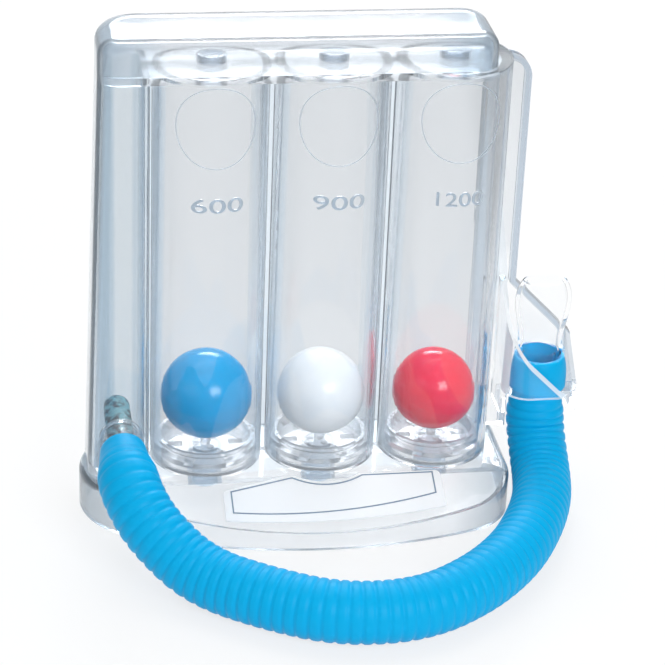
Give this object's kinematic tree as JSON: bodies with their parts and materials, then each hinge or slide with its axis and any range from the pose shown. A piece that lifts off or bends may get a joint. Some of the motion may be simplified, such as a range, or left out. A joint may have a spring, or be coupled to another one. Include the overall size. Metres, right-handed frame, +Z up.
{
  "type": "incentive spirometer",
  "caption": "Clear breathing trainer whose balls rise in upright chambers as air is drawn through a corrugated hose.",
  "frame": {"origin": "centre of the rigid object's footprint box, on the surface it stands on", "axes": "+Z up along the chambers, -Y to the front with the label, +X towards the hose holder"},
  "size_m": [0.148, 0.1084, 0.1475],
  "materials": {
    "clear_styrene": "clear, glossy moulded",
    "blue_hose": "satin, blow-moulded",
    "blue_ball": "satin",
    "white_ball": "satin",
    "red_ball": "satin",
    "clear_mouthpiece": "clear, slightly milky",
    "label": "matt film"
  },
  "bodies": {
    "trainer": {"chamber_600": "clear_styrene", "chamber_900": "clear_styrene", "chamber_1200": "clear_styrene", "air_duct": "clear_styrene", "side_rail": "clear_styrene", "outlet_plate": "clear_styrene", "top_cap": "clear_styrene", "base_foot": "clear_styrene", "ball_seat_600": "clear_styrene", "ball_seat_900": "clear_styrene", "ball_seat_1200": "clear_styrene", "hose_port": "clear_styrene", "port_cuff": "blue_hose", "corrugated_hose": "blue_hose", "holder_cuff": "blue_hose", "front_label": "label"},
    "ball_600": {"ball_600": "blue_ball"},
    "ball_900": {"ball_900": "white_ball"},
    "ball_1200": {"ball_1200": "red_ball"},
    "mouthpiece": {"mouthpiece": "clear_mouthpiece"}
  },
  "joints": [
    {"name": "ball_600_rise", "type": "slide", "parent": "trainer", "child": "ball_600", "axis": [0, 0, 1], "range_m": [0, 0.0885]},
    {"name": "ball_900_rise", "type": "slide", "parent": "trainer", "child": "ball_900", "axis": [0, 0, 1], "range_m": [0, 0.0895]},
    {"name": "ball_1200_rise", "type": "slide", "parent": "trainer", "child": "ball_1200", "axis": [0, 0, 1], "range_m": [0, 0.0907]},
    {"name": "mouthpiece_pull", "type": "slide", "parent": "trainer", "child": "mouthpiece", "axis": [0, 0, 1], "range_m": [0, 0.008]}
  ]
}
